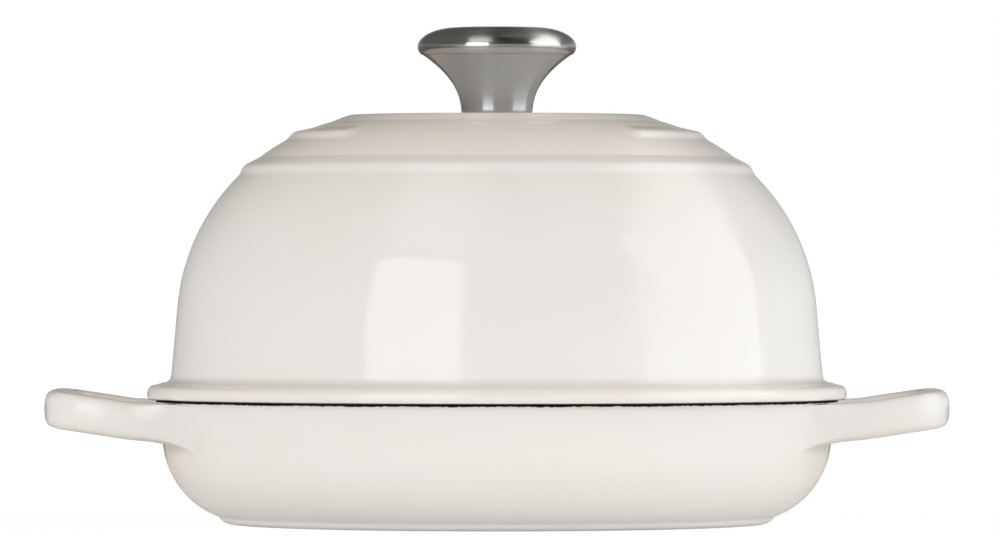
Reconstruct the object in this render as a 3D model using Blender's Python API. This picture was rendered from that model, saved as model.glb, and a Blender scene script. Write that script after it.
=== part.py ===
# Enamelled cast iron bread oven: a shallow round pan with two loop handles, a domed lid
# with a stepped crown, and a steel knob that a screw holds from inside the lid.
#
# Metres, +Z up. The origin is the centre of the foot's flat underside. The handles lie
# along X, and the bare field of the crown faces -Y. Outlines are lists of (radius, height).

import math

import bmesh
import bpy
from mathutils import Vector

MM = 0.001
TOUCH = 0.005 * MM  # points nearer than this count as one

# Running and seating clearances
SEAT_GAP = 0.3 * MM  # between faces that rest on each other
SCREW_CLEARANCE = 0.3 * MM  # round the screw's shank, all along it
LIP_CLEARANCE = 1.0 * MM  # between the lid's lip and the pan's wall

# Pan
RIM_RADIUS = 123.3 * MM
RIM_HEIGHT = 44.6 * MM
RIM_ROUND = 0.8 * MM
PAN_THICKNESS = 4.0 * MM
PAN_DRAFT = math.radians(9.5)  # lean of the wall, outward towards the rim
PAN_CORNER = 30.5 * MM  # outside radius between wall and bottom
FOOT_REACH = 8.6 * MM  # how far the foot reaches out under the round corner
FOOT_FLARE = 1.8 * MM  # how far the foot spreads where it joins the bottom
FOOT_EDGE = 3.0 * MM  # rounding at the foot's lower edge
FOOT_BAND = 14.0 * MM  # width of the flat ring that the pan stands on
FOOT_HEIGHT = 0.8 * MM  # ring below the bottom inside it
FLOOR_RING_SPACING = 22.0 * MM
FLOOR_RING_WIDTH = 4.0 * MM
FLOOR_RING_CREST = 1.8 * MM
FLOOR_RING_HEIGHT = 1.0 * MM

# Loop handles, cast on the pan
HANDLE_LENGTH = 39.6 * MM  # beyond the rim
HANDLE_SPREAD = 42.0 * MM  # centre line of each strap, from the X axis
HANDLE_THICKNESS = 9.0 * MM
HANDLE_HEIGHT = 13.5 * MM
HANDLE_DROP = 1.3 * MM  # top of the strap below the rim, where it leaves the wall
HANDLE_RISE = math.radians(8.7)
STRAP_SQUARENESS = 0.96  # how far the strap keeps its direction before it turns
GRIP_SQUARENESS = 0.86
STRAP_SECTION_POWER = 2.8  # an ellipse at 2, nearly a box at 5
ROOT_LENGTH = 10.0 * MM  # beyond the rim
ROOT_WIDTH = 31.0 * MM  # where the strap spreads into the wall
ROOT_FLARE = 3.9 * MM  # below the strap
ROOT_LEDGE = 0.8 * MM  # below the rounding of the rim
ROOT_SWEEP = 1.6  # how closely the root follows the wall before it turns out

# Lid, from its seat on the rim
LID_HEIGHT = 102.7 * MM
LID_THICKNESS = 4.0 * MM
LID_DRAFT = math.radians(5.1)  # lean of the wall, inward towards the crown
LID_WALL_INSET = 5.4 * MM  # outside of the wall at the flange, inside the pan's rim
DOME_RADIUS = 76.0 * MM
DOME_SWELL = 0.2 * MM  # top of the dome's arc above the plateau
FLANGE_OVERHANG = 3.0 * MM  # beyond the pan's rim
FLANGE_THICKNESS = 6.0 * MM  # at the wall
FLANGE_FALL = 0.7 * MM  # how far its top falls towards the edge
FLANGE_FILLET = 3.2 * MM
FLANGE_ROUND = 3.3 * MM
FLANGE_UNDER_ROUND = 1.3 * MM
LIP_DEPTH = 3.0 * MM
LIP_CHAMFER = 0.6 * MM

# Crown steps, each counted outward from the last
STEP_HEIGHT = 1.3 * MM
STEP_RISER = 3.4 * MM  # length of a step's outer face along the dome
PLATEAU_RADIUS = 52.6 * MM
PLATEAU_BEND = 1.3 * MM
PLATEAU_RISER = 6.9 * MM
MIDDLE_STEP_WIDTH = 16.3 * MM
MIDDLE_STEP_TREAD = 7.0 * MM
LOWER_STEP_WIDTH = 17.1 * MM
LOWER_STEP_TREAD = 6.0 * MM
TREAD_SHAPE = ((0.0, 0.0), (0.55, 0.7), (1.0, 1.0))  # (along the tread, of its height)
RISER_SHAPE = ((0.38, 0.78), (0.7, 0.26), (1.0, 0.0))  # the same along the outer face
FIELD_AZIMUTH = math.radians(-92.0)  # middle of the bare field on the middle step
FIELD_HALF_ANGLE = math.radians(41.0)
FIELD_END_ANGLE = math.radians(6.0)  # over which the step fades out

# Knob
KNOB_FOOT_RADIUS = 12.9 * MM
KNOB_FOOT_CHAMFER = 0.8 * MM
KNOB_RIM_RADIUS = 26.8 * MM
KNOB_BODY_HEIGHT = 21.4 * MM
KNOB_FLARE_POWER = 2.25  # a cone at 1, turning outward more suddenly as it grows
KNOB_SHELL = 1.3 * MM
KNOB_BASE = 1.5 * MM
SPIGOT_HEIGHT = 2.0 * MM
CAP_OVERHANG = 1.85 * MM  # widest line of the cap beyond the body's rim
CAP_LIP = 0.5 * MM  # lower edge of the cap beyond the body's rim
CAP_CURL = 2.6 * MM  # from the seam up to the widest line
CAP_SIDE = 1.6 * MM  # how far down from its widest line the cap stays nearly upright
CAP_RISE = 7.0 * MM  # from the widest line up to the shoulder
CAP_SHOULDER = 14.2 * MM  # width of the cap's rounded shoulder
CAP_CROWN = 0.3 * MM  # swell of the cap's top

# Screw, washer and threaded insert
SCREW_RADIUS = 3.0 * MM
SCREW_GRIP = 10.2 * MM  # length of shank inside the insert
SCREW_POINT = 0.6 * MM
HEAD_RADIUS = 6.2 * MM
HEAD_HEIGHT = 3.0 * MM
HEAD_EDGE = 0.9 * MM  # straight side of the head
HEAD_FACE_RADIUS = 2.5 * MM  # flat face inside the head's rounding
SLOT_WIDTH = 1.4 * MM
SLOT_DEPTH = 1.3 * MM
WASHER_RADIUS = 9.0 * MM
WASHER_THICKNESS = 1.2 * MM
INSERT_ROOM = 3.0 * MM  # between the insert's corners and the knob's shell
INSERT_CLOSED_END = 3.4 * MM

# Facets round the axis and along the handles
PAN_SIDE_STEPS = 22  # between the handles, on each side
PAN_GAP_STEPS = 4  # between the two roots of a handle
CORNER_STEPS = 6
ROOT_STEPS = 3
ROOT_ROWS = 3
ROOT_RINGS = 4
LOOP_STATIONS = 12
LID_STEPS = 54
FIELD_END_STEPS = 2
KNOB_STEPS = 32
SMALL_STEPS = 20

CREAM_ENAMEL = (0.800, 0.785, 0.740)
SATIN_STEEL = (0.300, 0.285, 0.265)
POLISHED_STEEL = (0.560, 0.560, 0.560)
PLATED_STEEL = (0.480, 0.480, 0.470)

# Places that follow from the sizes above
LID_SEAT = RIM_HEIGHT + SEAT_GAP
LID_TOP = LID_SEAT + LID_HEIGHT
FLANGE_TOP = LID_SEAT + FLANGE_THICKNESS
FLANGE_RADIUS = RIM_RADIUS + FLANGE_OVERHANG
LID_WALL_RADIUS = RIM_RADIUS - LID_WALL_INSET
KNOB_SEAT = LID_TOP + SEAT_GAP
KNOB_SEAM = KNOB_SEAT + KNOB_BODY_HEIGHT
INSERT_SEAT = KNOB_SEAT + KNOB_BASE + SEAT_GAP
CORNER_HEIGHT = FOOT_HEIGHT + PAN_CORNER
WALL_SPREAD = (RIM_HEIGHT - CORNER_HEIGHT) * math.tan(PAN_DRAFT)
CORNER_RADIUS = RIM_RADIUS - WALL_SPREAD - PAN_CORNER / math.cos(PAN_DRAFT)
FOOT_RADIUS = CORNER_RADIUS + FOOT_REACH
DOME_HEIGHT = LID_TOP + DOME_SWELL - DOME_RADIUS
DOME_SPREAD = (DOME_HEIGHT - FLANGE_TOP) * math.tan(LID_DRAFT)
DOME_CENTRE = LID_WALL_RADIUS - DOME_SPREAD - DOME_RADIUS / math.cos(LID_DRAFT)
MIDDLE_STEP_RADIUS = PLATEAU_RADIUS + PLATEAU_RISER + MIDDLE_STEP_WIDTH
LOWER_STEP_RADIUS = MIDDLE_STEP_RADIUS + LOWER_STEP_WIDTH
CROWN_UNDERSIDE = DOME_HEIGHT + DOME_RADIUS - LID_THICKNESS
WASHER_TOP = CROWN_UNDERSIDE - SEAT_GAP
HEAD_SEAT = WASHER_TOP - WASHER_THICKNESS - SEAT_GAP
SCREW_TOP = INSERT_SEAT + SCREW_GRIP
SCREW_HOLE = SCREW_RADIUS + SCREW_CLEARANCE
HANDLE_LEVEL = RIM_HEIGHT - HANDLE_DROP - 0.5 * HANDLE_HEIGHT
ROOT_TOP = RIM_HEIGHT - RIM_ROUND - ROOT_LEDGE
ROOT_BOTTOM = HANDLE_LEVEL - 0.5 * HANDLE_HEIGHT - ROOT_FLARE


def clear_scene():
    for obj in list(bpy.data.objects):
        bpy.data.objects.remove(obj, do_unlink=True)


def finish_material(name, colour, roughness, metallic):
    material = bpy.data.materials.new(name)
    material.use_nodes = True
    shader = material.node_tree.nodes["Principled BSDF"]
    shader.inputs["Base Color"].default_value = (*colour, 1.0)
    shader.inputs["Roughness"].default_value = roughness
    shader.inputs["Metallic"].default_value = metallic
    return material


def make_object(bm, name, material=None):
    """Turns a closed bmesh into a smooth-shaded object."""
    bmesh.ops.recalc_face_normals(bm, faces=bm.faces)
    mesh = bpy.data.meshes.new(name)
    bm.to_mesh(mesh)
    bm.free()
    mesh.shade_smooth()
    mesh.set_sharp_from_angle(angle=math.radians(40))
    if material:
        mesh.materials.append(material)
    obj = bpy.data.objects.new(name, mesh)
    bpy.context.scene.collection.objects.link(obj)
    return obj


def bend(start, corner, end, steps):
    """Rounds the corner between two straight runs of an outline."""
    points = []
    for step in range(steps + 1):
        t = step / steps
        weights = ((1 - t) ** 2, 2 * t * (1 - t), t * t)
        pairs = list(zip(weights, (start, corner, end)))
        points.append(tuple(sum(w * p[k] for w, p in pairs) for k in range(2)))
    return points


def arc(centre, radius, start, end, steps):
    """Points on an arc, by angle from straight up towards +radius."""
    angles = [start + (end - start) * step / steps for step in range(steps + 1)]
    return [(centre[0] + radius * math.sin(a), centre[1] + radius * math.cos(a)) for a in angles]


def turn(outline, sectors, start=0.0):
    """Spins a closed outline round Z through (angle, steps) sectors that add up to a full turn."""
    bm = bmesh.new()
    verts = [bm.verts.new((r * math.cos(start), r * math.sin(start), z)) for r, z in outline]
    pairs = zip(verts, verts[1:] + verts[:1])
    edge = [bm.edges.new(pair) for pair in pairs if max(v.co.xy.length for v in pair) > 0]
    for angle, steps in sectors:
        spun = bmesh.ops.spin(bm, geom=edge, cent=(0, 0, 0), axis=(0, 0, 1), angle=angle, steps=steps)
        edge = [item for item in spun["geom_last"] if isinstance(item, bmesh.types.BMEdge)]
    bmesh.ops.remove_doubles(bm, verts=bm.verts, dist=TOUCH)
    return bm


def turned_object(name, outline, steps, material=None):
    return make_object(turn(outline, [(2 * math.pi, steps)]), name, material)


def pan_radius(height):
    """Outside radius of the pan at a height: straight wall, then the round corner."""
    if height >= CORNER_HEIGHT - PAN_CORNER * math.sin(PAN_DRAFT):
        return RIM_RADIUS - (RIM_HEIGHT - height) * math.tan(PAN_DRAFT)
    return CORNER_RADIUS + math.sqrt(PAN_CORNER**2 - (CORNER_HEIGHT - height) ** 2)


def pan_inner_radius(height):
    return pan_radius(height) - PAN_THICKNESS / math.cos(PAN_DRAFT)


def root_heights():
    return [ROOT_TOP + (ROOT_BOTTOM - ROOT_TOP) * row / ROOT_ROWS for row in range(ROOT_ROWS + 1)]


def floor_rings():
    """Radii of the raised rings on the pan's floor, from the middle outward."""
    count = int((CORNER_RADIUS - FLOOR_RING_WIDTH) / FLOOR_RING_SPACING)
    return [CORNER_RADIUS - FLOOR_RING_SPACING * k for k in range(count, 0, -1)]


def pan_outline():
    floor = FOOT_HEIGHT + PAN_THICKNESS
    points = [(0.0, floor)]
    for radius in floor_rings():
        crest = floor + FLOOR_RING_HEIGHT
        points += [(radius - 0.5 * FLOOR_RING_WIDTH, floor), (radius - 0.5 * FLOOR_RING_CREST, crest)]
        points += [(radius + 0.5 * FLOOR_RING_CREST, crest), (radius + 0.5 * FLOOR_RING_WIDTH, floor)]
    corner = (CORNER_RADIUS, CORNER_HEIGHT)
    points += arc(corner, PAN_CORNER - PAN_THICKNESS, math.pi, math.pi / 2 + PAN_DRAFT, 5)
    below_rim = RIM_HEIGHT - RIM_ROUND
    inner = pan_inner_radius(RIM_HEIGHT)
    inner_start = (pan_inner_radius(below_rim), below_rim)
    points += bend(inner_start, (inner, RIM_HEIGHT), (inner + RIM_ROUND, RIM_HEIGHT), 2)
    outer_start = (RIM_RADIUS - RIM_ROUND, RIM_HEIGHT)
    points += bend(outer_start, (RIM_RADIUS, RIM_HEIGHT), (pan_radius(below_rim), below_rim), 2)
    points += [(pan_radius(height), height) for height in root_heights()]
    below_root = math.asin((CORNER_HEIGHT - ROOT_BOTTOM) / PAN_CORNER)
    foot = math.acos((FOOT_RADIUS + FOOT_FLARE - CORNER_RADIUS) / PAN_CORNER)
    for step in range(1, CORNER_STEPS):
        angle = below_root + (foot - below_root) * step / CORNER_STEPS
        height = CORNER_HEIGHT - PAN_CORNER * math.sin(angle)
        points.append((pan_radius(height), height))
    foot_top = CORNER_HEIGHT - PAN_CORNER * math.sin(foot)
    foot_start = (FOOT_RADIUS + FOOT_FLARE, foot_top)
    points += bend(foot_start, (FOOT_RADIUS, 0.0), (FOOT_RADIUS - FOOT_EDGE, 0.0), 3)
    band = FOOT_RADIUS - FOOT_BAND
    points += [(band, 0.0), (band - FOOT_HEIGHT, FOOT_HEIGHT), (0.0, FOOT_HEIGHT)]
    return points


def root_azimuths():
    """First and last azimuth of a handle's root, away from the X axis."""
    middle = math.asin(HANDLE_SPREAD / RIM_RADIUS)
    half = 0.5 * ROOT_WIDTH / RIM_RADIUS
    return middle - half, middle + half


def pan_sectors():
    inner, outer = root_azimuths()
    root = (outer - inner, ROOT_STEPS)
    gap = (2 * inner, PAN_GAP_STEPS)
    side = (math.pi - 2 * outer, PAN_SIDE_STEPS)
    return [gap, root, side, root] * 2


def open_roots(bm):
    """Takes the wall's faces out where the four strap ends join it."""
    inner, outer = root_azimuths()
    doomed = []
    for face in bm.faces:
        centre = face.calc_center_median()
        azimuth = math.atan2(abs(centre.y), abs(centre.x))
        if not (ROOT_BOTTOM < centre.z < ROOT_TOP and inner < azimuth < outer):
            continue
        if centre.xy.length > pan_radius(centre.z) - 0.5 * PAN_THICKNESS:
            doomed.append(face)
    bmesh.ops.delete(bm, geom=doomed, context="FACES")


def root_place(vert):
    """Place of a vertex on its root's border, from -1 to 1 outward and upward."""
    inner, outer = root_azimuths()
    azimuth = math.atan2(abs(vert.co.y), abs(vert.co.x))
    across = 2 * (azimuth - inner) / (outer - inner) - 1
    up = 2 * (vert.co.z - ROOT_BOTTOM) / (ROOT_TOP - ROOT_BOTTOM) - 1
    return across, up


def root_border(bm, side, end):
    """Vertices round one open root, in order: side and end are the signs of x and y."""
    border = [v for v in bm.verts if any(e.is_boundary for e in v.link_edges)]
    border = [v for v in border if v.co.x * side > 0 and v.co.y * end > 0]
    return sorted(border, key=border_angle)


def border_angle(vert):
    """Angle of a border vertex round its root, counted from just past the outward direction."""
    across, up = root_place(vert)
    just_past = math.radians(6)
    return (math.atan2(up, across) - just_past) % (2 * math.pi)


def section_offset(across, up):
    """Point of the strap's rounded section in the direction of a root's border point."""
    power = STRAP_SECTION_POWER
    size = (abs(across) ** power + abs(up) ** power) ** (1 / power)
    return 0.5 * HANDLE_THICKNESS * across / size, 0.5 * HANDLE_HEIGHT * up / size


def loop_station(t):
    """Centre and outward direction of a +X handle, at t from 0 at +Y to 1 at -Y."""
    end = 1 if t <= 0.5 else -1
    u = 2 * t if t <= 0.5 else 2 - 2 * t
    root_x = RIM_RADIUS + ROOT_LENGTH
    grip_x = RIM_RADIUS + HANDLE_LENGTH - 0.5 * HANDLE_THICKNESS
    a = Vector((root_x, HANDLE_SPREAD))
    b = Vector((root_x + STRAP_SQUARENESS * (grip_x - root_x), HANDLE_SPREAD))
    c = Vector((grip_x, GRIP_SQUARENESS * HANDLE_SPREAD))
    d = Vector((grip_x, 0.0))
    place = a * (1 - u) ** 3 + b * 3 * u * (1 - u) ** 2 + c * 3 * u * u * (1 - u) + d * u**3
    run = (b - a) * (1 - u) ** 2 + (c - b) * 2 * u * (1 - u) + (d - c) * u * u
    outward = Vector((-run.y, run.x)).normalized()
    height = HANDLE_LEVEL + (place.x - RIM_RADIUS) * math.tan(HANDLE_RISE)
    return Vector((place.x, place.y * end, height)), Vector((outward.x, outward.y * end, 0.0))


def strap_ring(t, places, side):
    centre, outward = loop_station(t)
    ring = []
    for place in places:
        across, up = section_offset(*place)
        point = centre + outward * across + Vector((0, 0, up))
        ring.append(Vector((point.x * side, point.y, point.z)))
    return ring


def root_rings(border, ring, side):
    """Rings that sweep from the wall into the strap, tangent to both."""
    rings = []
    strap_run = Vector((side * math.cos(HANDLE_RISE), 0, math.sin(HANDLE_RISE)))
    for step in range(1, ROOT_RINGS):
        t = step / ROOT_RINGS
        points = []
        for vert, target in zip(border, ring):
            way = target - vert.co
            wall = Vector((vert.co.x, vert.co.y, 0)).normalized() * math.cos(PAN_DRAFT)
            wall.z = -math.sin(PAN_DRAFT)
            leave = (way - wall * way.dot(wall)) * ROOT_SWEEP
            arrive = strap_run * abs(way.dot(wall))
            points.append(
                vert.co * (2 * t**3 - 3 * t**2 + 1)
                + leave * (t**3 - 2 * t**2 + t)
                + target * (3 * t**2 - 2 * t**3)
                + arrive * (t**3 - t**2)
            )
        rings.append(points)
    return rings


def add_handle(bm, side):
    """Lofts one loop from its root at +Y round to its root at -Y."""
    first = root_border(bm, side, 1)
    last = root_border(bm, side, -1)
    places = [root_place(v) for v in first]
    straps = [strap_ring(step / LOOP_STATIONS, places, side) for step in range(LOOP_STATIONS + 1)]
    rings = root_rings(first, straps[0], side) + straps + root_rings(last, straps[-1], side)[::-1]
    loops = [first] + [[bm.verts.new(point) for point in ring] for ring in rings] + [last]
    for loop, following in zip(loops, loops[1:]):
        for k in range(len(loop)):
            bm.faces.new((loop[k - 1], loop[k], following[k], following[k - 1]))


def make_base(material):
    bm = turn(pan_outline(), pan_sectors(), start=-root_azimuths()[0])
    open_roots(bm)
    add_handle(bm, 1)
    add_handle(bm, -1)
    return make_object(bm, "base", material)


def dome_point(angle, lift=0.0):
    reach = DOME_RADIUS + lift
    return DOME_CENTRE + reach * math.sin(angle), DOME_HEIGHT + reach * math.cos(angle)


def dome_angle(radius):
    return math.asin((radius - DOME_CENTRE) / DOME_RADIUS)


def step_rows(edge_radius, tread):
    """(angle, lift) rows of a crown step, from where it rises to the foot of its outer face."""
    end = dome_angle(edge_radius)
    face = STEP_RISER / DOME_RADIUS
    edge = end - face
    start = edge - tread / DOME_RADIUS
    rows = [(start + (edge - start) * along, STEP_HEIGHT * up) for along, up in TREAD_SHAPE]
    rows += [(edge + face * along, STEP_HEIGHT * up) for along, up in RISER_SHAPE]
    return rows


def lid_wall_radius(height):
    return LID_WALL_RADIUS - (height - FLANGE_TOP) * math.tan(LID_DRAFT)


def lid_outline():
    points = [(SCREW_HOLE, LID_TOP)]
    plateau_end = dome_point(dome_angle(PLATEAU_RADIUS + PLATEAU_RISER))
    points += bend((PLATEAU_RADIUS, LID_TOP), (PLATEAU_RADIUS + PLATEAU_BEND, LID_TOP), plateau_end, 4)
    rows = step_rows(MIDDLE_STEP_RADIUS, MIDDLE_STEP_TREAD)
    rows += step_rows(LOWER_STEP_RADIUS, LOWER_STEP_TREAD)
    points += [dome_point(*row) for row in rows]
    wall_angle = math.pi / 2 - LID_DRAFT
    dome = (DOME_CENTRE, DOME_HEIGHT)
    points += arc(dome, DOME_RADIUS, rows[-1][0], wall_angle, 5)[1:]
    points += flange_outline()
    inside = LID_WALL_RADIUS - LID_THICKNESS
    lip_bottom = LID_SEAT - LIP_DEPTH
    lip = pan_inner_radius(lip_bottom) - LIP_CLEARANCE
    points += [(lip, LID_SEAT), (lip, lip_bottom + LIP_CHAMFER), (lip - LIP_CHAMFER, lip_bottom)]
    points += [(inside + LIP_CHAMFER, lip_bottom), (inside, lip_bottom + LIP_CHAMFER)]
    points.append((inside, FLANGE_TOP))
    points += arc(dome, DOME_RADIUS - LID_THICKNESS, wall_angle, 0.0, 7)
    points.append((SCREW_HOLE, CROWN_UNDERSIDE))
    return points


def flange_outline():
    """From the foot of the lid's wall, over the flange to its underside.

    The roundings give way where the flange is made thinner or narrower.
    """
    width = FLANGE_RADIUS - LID_WALL_RADIUS
    fillet = min(FLANGE_FILLET, 0.4 * width)
    rounding = min(FLANGE_ROUND, 0.45 * width, 0.5 * FLANGE_THICKNESS)
    under = min(FLANGE_UNDER_ROUND, 0.25 * FLANGE_THICKNESS)
    edge = FLANGE_TOP - min(FLANGE_FALL, 0.2 * FLANGE_THICKNESS)
    wall_end = (lid_wall_radius(FLANGE_TOP + fillet), FLANGE_TOP + fillet)
    points = bend(wall_end, (LID_WALL_RADIUS, FLANGE_TOP), (LID_WALL_RADIUS + fillet, FLANGE_TOP), 3)
    round_start = (FLANGE_RADIUS - rounding, edge)
    points += bend(round_start, (FLANGE_RADIUS, edge), (FLANGE_RADIUS, edge - rounding), 3)
    under_start = (FLANGE_RADIUS, LID_SEAT + under)
    points += bend(under_start, (FLANGE_RADIUS, LID_SEAT), (FLANGE_RADIUS - under, LID_SEAT), 2)
    return points


def lid_sectors():
    """From one end of the bare field to the other and round the back."""
    field = 2 * FIELD_HALF_ANGLE
    back = 2 * math.pi - field - 2 * FIELD_END_ANGLE
    field_steps = round(LID_STEPS * field / (2 * math.pi))
    end = (FIELD_END_ANGLE, FIELD_END_STEPS)
    return [(field, field_steps), end, (back, LID_STEPS - field_steps), end]


def clear_field(bm):
    """Presses the middle step back to the dome over the bare field."""
    rows = step_rows(MIDDLE_STEP_RADIUS, MIDDLE_STEP_TREAD)
    for vert in bm.verts:
        radius = vert.co.xy.length
        rise = vert.co.z - DOME_HEIGHT
        reach = math.hypot(radius - DOME_CENTRE, rise)
        angle = math.atan2(radius - DOME_CENTRE, rise)
        if reach < DOME_RADIUS + TOUCH or not rows[0][0] < angle < rows[-1][0]:
            continue
        off = abs(math.remainder(math.atan2(vert.co.y, vert.co.x) - FIELD_AZIMUTH, 2 * math.pi))
        t = min(max((off - FIELD_HALF_ANGLE) / FIELD_END_ANGLE, 0.0), 1.0)
        lift = (reach - DOME_RADIUS) * t * t * (3 - 2 * t)
        new_radius, new_height = dome_point(angle, lift)
        vert.co = (vert.co.x * new_radius / radius, vert.co.y * new_radius / radius, new_height)


def make_lid(material):
    bm = turn(lid_outline(), lid_sectors(), start=FIELD_AZIMUTH - FIELD_HALF_ANGLE)
    clear_field(bm)
    return make_object(bm, "lid", material)


def trumpet_radius(height):
    """Outside of the knob's body by height above its foot: a trumpet up to its rim."""
    flare = KNOB_RIM_RADIUS - KNOB_FOOT_RADIUS
    return KNOB_FOOT_RADIUS + flare * (height / KNOB_BODY_HEIGHT) ** KNOB_FLARE_POWER


def trumpet_inner_radius(height):
    flare = (KNOB_RIM_RADIUS - KNOB_FOOT_RADIUS) / KNOB_BODY_HEIGHT
    slope = KNOB_FLARE_POWER * flare * (height / KNOB_BODY_HEIGHT) ** (KNOB_FLARE_POWER - 1)
    return trumpet_radius(height) - KNOB_SHELL * math.hypot(1.0, slope)


def knob_body_outline():
    top = KNOB_BODY_HEIGHT
    chamfer = KNOB_FOOT_CHAMFER
    outer_rows = 9
    inner_rows = 6
    points = [(SCREW_HOLE, KNOB_BASE), (SCREW_HOLE, 0.0), (KNOB_FOOT_RADIUS - chamfer, 0.0)]
    heights = [chamfer + (top - chamfer) * row / outer_rows for row in range(outer_rows + 1)]
    points += [(trumpet_radius(height), height) for height in heights]
    spigot = KNOB_RIM_RADIUS - KNOB_SHELL - SEAT_GAP
    spigot_inner = spigot - KNOB_SHELL
    points += [(spigot, top), (spigot, top + SPIGOT_HEIGHT), (spigot_inner, top + SPIGOT_HEIGHT)]
    heights = [KNOB_BASE + (top - KNOB_BASE) * row / inner_rows for row in range(inner_rows, -1, -1)]
    points += [(min(trumpet_inner_radius(height), spigot_inner), height) for height in heights]
    return [(radius, KNOB_SEAT + height) for radius, height in points]


def quarter_oval(centre, width, rise, steps):
    """From the top of an oval down to its side."""
    angles = [0.5 * math.pi * step / steps for step in range(steps + 1)]
    return [(centre[0] + width * math.sin(a), centre[1] + rise * math.cos(a)) for a in angles]


def cap_outline():
    seam = KNOB_SEAM + SEAT_GAP
    widest = seam + CAP_CURL
    shoulder = KNOB_RIM_RADIUS + CAP_OVERHANG - CAP_SHOULDER
    inner_seam = KNOB_RIM_RADIUS - KNOB_SHELL
    points = [(0.0, widest + CAP_RISE + CAP_CROWN)]
    points += quarter_oval((shoulder, widest), CAP_SHOULDER, CAP_RISE, 7)[:-1]
    side = shoulder + CAP_SHOULDER
    points += bend((side, widest), (side, widest - CAP_SIDE), (KNOB_RIM_RADIUS + CAP_LIP, seam), 3)
    points.append((inner_seam, seam))
    inner_rise = CAP_RISE - KNOB_SHELL
    points += quarter_oval((shoulder, widest), inner_seam - shoulder, inner_rise, 4)[::-1]
    points[-1] = (0.0, widest + inner_rise)
    return points


def as_cutter(obj):
    obj.hide_render = True
    obj.display_type = "WIRE"
    return obj


def cut(obj, cutter):
    boolean = obj.modifiers.new(cutter.name, "BOOLEAN")
    boolean.operation = "DIFFERENCE"
    boolean.solver = "EXACT"
    boolean.object = as_cutter(cutter)


def make_insert(material):
    """Six-sided sleeve with a blind bore, standing on the knob's base."""
    radius = KNOB_FOOT_RADIUS - KNOB_SHELL - INSERT_ROOM
    bore_top = SCREW_TOP + SCREW_CLEARANCE
    top = bore_top + INSERT_CLOSED_END
    outline = [(0.0, top), (radius, top), (radius, INSERT_SEAT), (0.0, INSERT_SEAT)]
    insert = turned_object("knob_insert", outline, 6, material)
    below = INSERT_SEAT - KNOB_BASE
    bore = [(0.0, bore_top), (SCREW_HOLE, bore_top), (SCREW_HOLE, below), (0.0, below)]
    cut(insert, turned_object("insert_bore", bore, SMALL_STEPS))


def make_screw(material):
    """Pan-head screw: its head lies under the washer and its slot faces down."""
    bottom = HEAD_SEAT - HEAD_HEIGHT
    outline = [(0.0, SCREW_TOP), (SCREW_RADIUS - SCREW_POINT, SCREW_TOP)]
    outline += [(SCREW_RADIUS, SCREW_TOP - SCREW_POINT), (SCREW_RADIUS, HEAD_SEAT)]
    outline.append((HEAD_RADIUS, HEAD_SEAT))
    side_end = (HEAD_RADIUS, HEAD_SEAT - HEAD_EDGE)
    outline += bend(side_end, (HEAD_RADIUS, bottom), (HEAD_FACE_RADIUS, bottom), 3)
    outline.append((0.0, bottom))
    screw = turned_object("knob_screw", outline, SMALL_STEPS, material)
    bm = bmesh.new()
    bmesh.ops.create_cube(bm, size=1.0)
    bmesh.ops.scale(bm, verts=bm.verts, vec=(4 * HEAD_RADIUS, SLOT_WIDTH, 2 * SLOT_DEPTH))
    bmesh.ops.translate(bm, verts=bm.verts, vec=(0, 0, bottom))
    cut(screw, make_object(bm, "screw_slot"))


def washer_outline():
    low = WASHER_TOP - WASHER_THICKNESS
    return [(SCREW_HOLE, WASHER_TOP), (WASHER_RADIUS, WASHER_TOP), (WASHER_RADIUS, low), (SCREW_HOLE, low)]


def main():
    clear_scene()
    make_base(finish_material("pan_enamel", CREAM_ENAMEL, 0.12, 0.0))
    make_lid(finish_material("lid_enamel", CREAM_ENAMEL, 0.12, 0.0))
    satin = finish_material("satin_steel", SATIN_STEEL, 0.35, 1.0)
    turned_object("knob_body", knob_body_outline(), KNOB_STEPS, satin)
    polished = finish_material("polished_steel", POLISHED_STEEL, 0.08, 1.0)
    turned_object("knob_cap", cap_outline(), KNOB_STEPS, polished)
    make_insert(finish_material("insert_steel", PLATED_STEEL, 0.4, 1.0))
    make_screw(finish_material("screw_steel", PLATED_STEEL, 0.3, 1.0))
    washer_steel = finish_material("washer_steel", PLATED_STEEL, 0.3, 1.0)
    turned_object("screw_washer", washer_outline(), SMALL_STEPS, washer_steel)


main()
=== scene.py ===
# An enamelled cast iron bread oven on a pale studio floor.
#
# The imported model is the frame. The pan, the lid and the knob's two shells get a finer
# surface here, made the way the castings and pressings are made: outlines turned round
# the oven's axis, with the two loop handles drawn out of the pan's wall. Metres, +Z up.

import math

import bmesh
import bpy
from bpy.props import FloatProperty, FloatVectorProperty, IntProperty, PointerProperty
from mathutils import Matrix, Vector


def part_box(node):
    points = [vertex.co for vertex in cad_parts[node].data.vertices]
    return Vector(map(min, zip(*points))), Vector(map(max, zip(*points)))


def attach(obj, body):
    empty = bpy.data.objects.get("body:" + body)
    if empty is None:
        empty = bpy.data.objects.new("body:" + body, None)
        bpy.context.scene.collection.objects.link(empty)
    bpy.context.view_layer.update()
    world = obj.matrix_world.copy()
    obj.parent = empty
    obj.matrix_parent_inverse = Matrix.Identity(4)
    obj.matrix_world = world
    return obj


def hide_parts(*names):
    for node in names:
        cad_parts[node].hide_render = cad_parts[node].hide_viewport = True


bl_info = {
    "name": "Bread oven",
    "version": (1, 0, 0),
    "blender": (4, 5, 0),
    "location": "3D view > Sidebar > Bread oven",
    "description": "Builds an enamelled cast iron bread oven and its studio",
    "category": "Object",
}

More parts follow.
